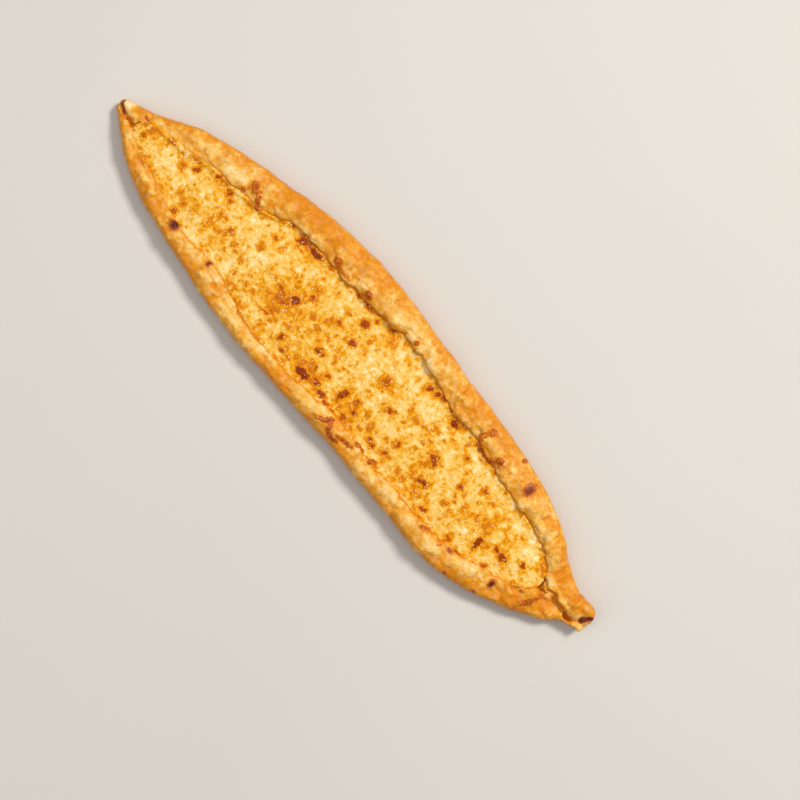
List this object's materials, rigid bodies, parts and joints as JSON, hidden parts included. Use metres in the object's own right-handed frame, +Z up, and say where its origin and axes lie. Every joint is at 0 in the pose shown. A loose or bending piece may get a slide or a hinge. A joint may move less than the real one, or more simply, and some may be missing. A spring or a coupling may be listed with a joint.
{
  "type": "turkish cheese pide",
  "caption": "Long boat of baked dough with pinched tips and folded rims, holding a browned melted cheese filling.",
  "frame": {"origin": "centre of the bounding box in plan, on the flat base the bread rests on", "axes": "+X along the boat from the charred tip to the curled tip, +Y across it towards the wide rim, +Z up out of the filling"},
  "size_m": [0.46, 0.1089, 0.02],
  "materials": {
    "baked_dough": "satin baked crust, pale cream to golden orange with charred blisters",
    "melted_cheese": "oily melted cheese, pale yellow with golden and dark brown toasted spots"
  },
  "bodies": {
    "root": {"bread": "baked_dough", "cheese_filling": "melted_cheese"}
  },
  "joints": []
}
